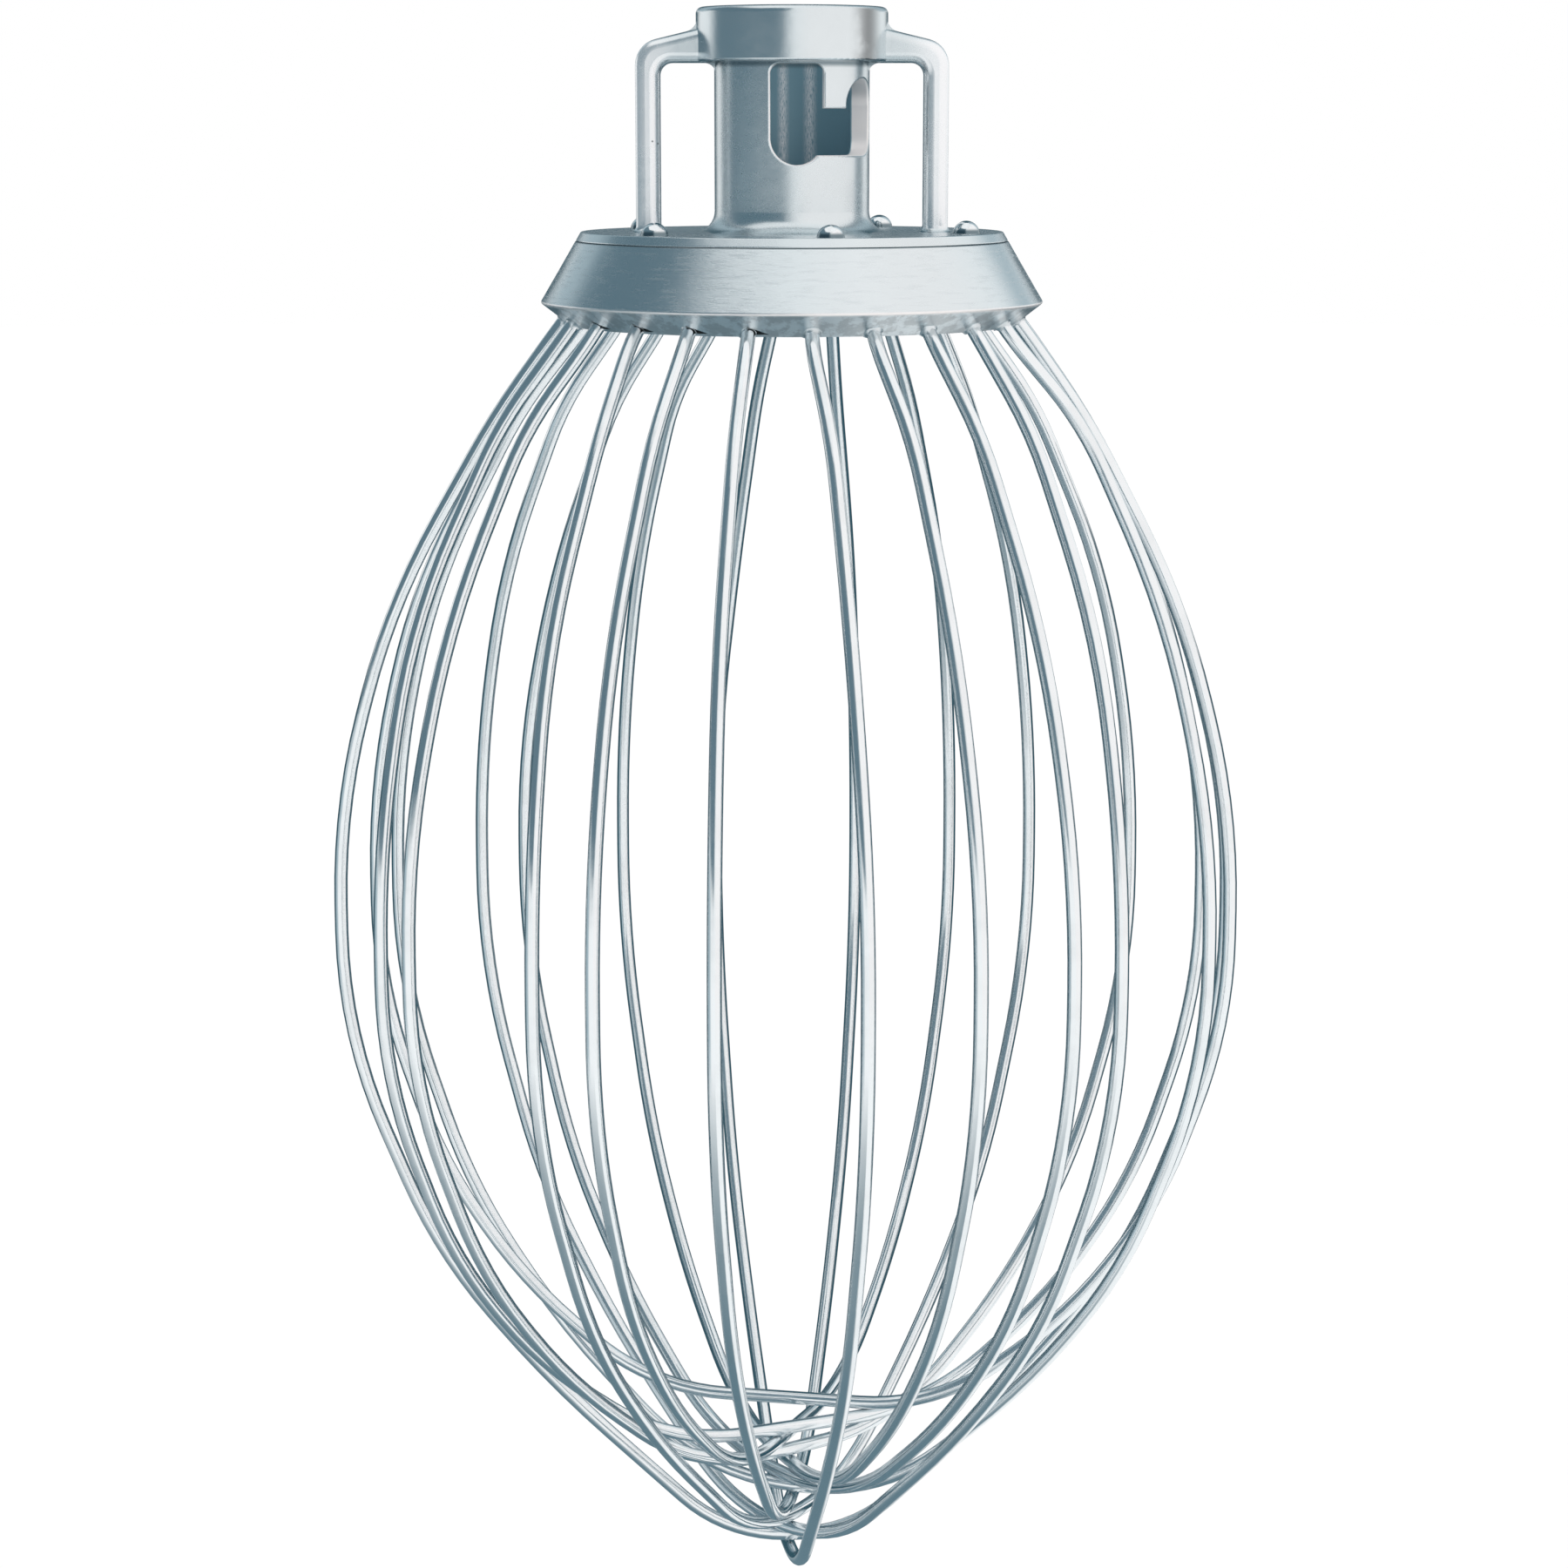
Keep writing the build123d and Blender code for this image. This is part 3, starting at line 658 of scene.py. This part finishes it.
class WHIP_OT_stage(bpy.types.Operator):
    """Sets the camera, the pale floor, the cards, the lamp and the white surroundings"""

    bl_idname = "wire_whip.stage"
    bl_label = "Stage"

    def execute(self, context):
        stage = context.scene.whip_stage
        self.add_camera(context.scene, stage)
        self.add_world(context.scene)
        self.add_floor(stage)
        self.add_lamp(stage)
        for name, colour, radius, turns, heights, softness in UPRIGHT_CARDS:
            self.add_upright_card(name, getattr(stage, colour), radius, turns, heights, softness)
        self.add_low_card(stage)
        context.scene.view_settings.view_transform = "Standard"
        return {"FINISHED"}

    @staticmethod
    def add_camera(scene, stage):
        """The camera, at the photograph's angle."""
        data = bpy.data.cameras.new("camera")
        data.sensor_fit = "HORIZONTAL"
        data.sensor_width = 36.0
        data.lens = stage.lens
        data.clip_start = 0.01
        data.clip_end = 100.0
        camera = bpy.data.objects.new("camera", data)
        camera.location = stage.camera_place
        camera.rotation_euler = (math.pi / 2 - stage.camera_tilt, 0.0, 0.0)
        scene.collection.objects.link(camera)
        scene.camera = camera

    @staticmethod
    def add_world(scene):
        """White all round. What the camera and the metal see is plain white."""
        world = bpy.data.worlds.new("white_surroundings")
        world.use_nodes = True
        background = world.node_tree.nodes["Background"]
        background.inputs["Color"].default_value = (1.0, 1.0, 1.0, 1.0)
        background.inputs["Strength"].default_value = 1.0
        scene.world = world

    @staticmethod
    def add_floor(stage):
        """A wide pale floor that keeps the whip's shadow. A faint glow, which only the camera, the
        metal and clear things see, lifts the rest of it to white. The floor is clear from below."""
        finish = Finish("pale_floor")
        camera, glossy, transmission = finish.outputs(
            finish.add("ShaderNodeLightPath"),
            "Is Camera Ray", "Is Glossy Ray", "Is Transmission Ray")
        glow = (camera + glossy + transmission) * FLOOR_GLOW
        sockets = {"Base Color": rgba(FLOOR_COLOUR), "Roughness": 0.9, "Specular IOR Level": 0.0,
                   "Emission Color": (1.0, 1.0, 1.0, 1.0), "Emission Strength": glow}
        pale = finish.add("ShaderNodeBsdfPrincipled", None, sockets)
        clear = finish.add("ShaderNodeBsdfTransparent")
        below = finish.add("ShaderNodeNewGeometry", output="Backfacing")
        finish.add_output(finish.add("ShaderNodeMixShader", None, {0: below, 1: pale, 2: clear}))
        builder = bmesh.new()
        bmesh.ops.create_circle(builder, cap_ends=True, segments=FLOOR_SIDES, radius=FLOOR_RADIUS)
        builder.normal_update()
        for face in builder.faces:
            if face.normal.z < 0.0:
                face.normal_flip()
        floor = made_object("floor", builder, finish.material)
        floor.location.z = stage.floor_height

    @staticmethod
    def add_lamp(stage):
        """One large soft lamp, high to the right of the camera, turned to the hub."""
        data = bpy.data.lights.new("soft_lamp", "AREA")
        data.shape = "SQUARE"
        data.size = LAMP_SIDE
        data.energy = stage.lamp_strength * math.pi * LAMP_SIDE * LAMP_SIDE
        lamp = bpy.data.objects.new("soft_lamp", data)
        lamp.location = LAMP_PLACE
        lamp.rotation_euler = (-lamp.location).to_track_quat("-Z", "Y").to_euler()
        bpy.context.scene.collection.objects.link(lamp)

    def add_upright_card(self, name, colour, radius, turns, heights, softness):
        """A card bent round the whip, from one turn to another and from one height to another."""
        middle_turn = sum(turns) / 2
        half_turn = (turns[1] - turns[0]) / 2
        middle_height = sum(heights) / 2
        half_height = (heights[1] - heights[0]) / 2
        builder = bmesh.new()
        columns = []
        for step in range(CARD_STEPS + 1):
            turn = half_turn * (2.0 * step / CARD_STEPS - 1.0)
            ends = [point_at(radius, turn, height) for height in heights]
            columns.append([builder.verts.new(end) for end in ends])
        for left, right in zip(columns, columns[1:]):
            builder.faces.new((left[0], right[0], right[1], left[1]))
        finish = Finish(name)
        x, y, z = finish.split(finish.place())
        end_softness, top_softness = math.radians(softness[0]), softness[1]
        from_end = math.radians(half_turn) - abs(turn_of(x, y))
        from_top = half_height - abs(z - middle_height)
        inside = from_end.above(end_softness / 2, end_softness)
        inside = inside * from_top.above(top_softness / 2, top_softness)
        card = made_object(name, builder, self.card_skin(finish, inside, colour))
        card.rotation_euler.z = math.radians(middle_turn)
        self.hide_from_camera(card)

    def add_low_card(self, stage):
        """A round card that lies on the floor under the whip and ends short of its right side."""
        radius = stage.low_card_radius
        rim_middle, rim_width = (radius * share for share in LOW_CARD_RIM)
        builder = bmesh.new()
        bmesh.ops.create_circle(builder, cap_ends=True, segments=LOW_CARD_SIDES, radius=radius)
        finish = Finish("low_card")
        x, y, _ = finish.split(finish.place())
        inside = (radius - level_distance(x, y)).above(rim_middle, rim_width)
        inside = inside * x.below(*LOW_CARD_RIGHT)
        skin = self.card_skin(finish, inside, stage.low_card_colour)
        card = made_object("low_card", builder, skin)
        card.location = (0.0, stage.low_card_setback, stage.floor_height + LOW_CARD_LIFT)
        self.hide_from_camera(card)

    @staticmethod
    def card_skin(finish, inside, colour):
        """One shade inside the card's rim, and clear outside it."""
        glow = finish.add("ShaderNodeEmission", None, {"Color": rgba(colour), "Strength": 1.0})
        clear = finish.add("ShaderNodeBsdfTransparent")
        finish.add_output(finish.add("ShaderNodeMixShader", None, {0: inside, 1: clear, 2: glow}))
        return finish.material

    @staticmethod
    def hide_from_camera(card):
        """The card shows only in the metal, and takes no light from the rest."""
        for path in ("camera", "diffuse", "transmission", "volume_scatter", "shadow"):
            setattr(card, "visible_" + path, False)


class WHIP_PT_panel(bpy.types.Panel):
    """Lists the pieces of the whip and its stage"""

    bl_idname = "WHIP_PT_panel"
    bl_label = "Mixer Wire Whip"
    bl_space_type = "VIEW_3D"
    bl_region_type = "UI"
    bl_category = "Wire Whip"

    def draw(self, context):
        for operator in OPERATORS:
            self.layout.operator(operator.bl_idname)
        scene = context.scene
        for group in (scene.whip_finishes, scene.whip_beads, scene.whip_stage):
            box = self.layout.box()
            for name in group.bl_rna.properties.keys():
                if name not in ("rna_type", "name"):
                    box.prop(group, name)


GROUPS = {"whip_finishes": WhipFinishes, "whip_beads": WhipBeads, "whip_stage": WhipStage}
OPERATORS = (WHIP_OT_stage, WHIP_OT_hub, WHIP_OT_ring, WHIP_OT_rivets, WHIP_OT_wires, WHIP_OT_beads)


def register():
    for group in GROUPS.values():
        bpy.utils.register_class(group)
    for name, group in GROUPS.items():
        setattr(bpy.types.Scene, name, PointerProperty(type=group))
    for operator in OPERATORS:
        bpy.utils.register_class(operator)
    bpy.utils.register_class(WHIP_PT_panel)


def unregister():
    bpy.utils.unregister_class(WHIP_PT_panel)
    for operator in reversed(OPERATORS):
        bpy.utils.unregister_class(operator)
    for name, group in GROUPS.items():
        delattr(bpy.types.Scene, name)
        bpy.utils.unregister_class(group)


def main():
    register()
    bpy.ops.wire_whip.stage()
    bpy.ops.wire_whip.hub()
    bpy.ops.wire_whip.ring()
    bpy.ops.wire_whip.rivets()
    bpy.ops.wire_whip.wires()
    bpy.ops.wire_whip.beads()


if __name__ == "__main__":
    main()
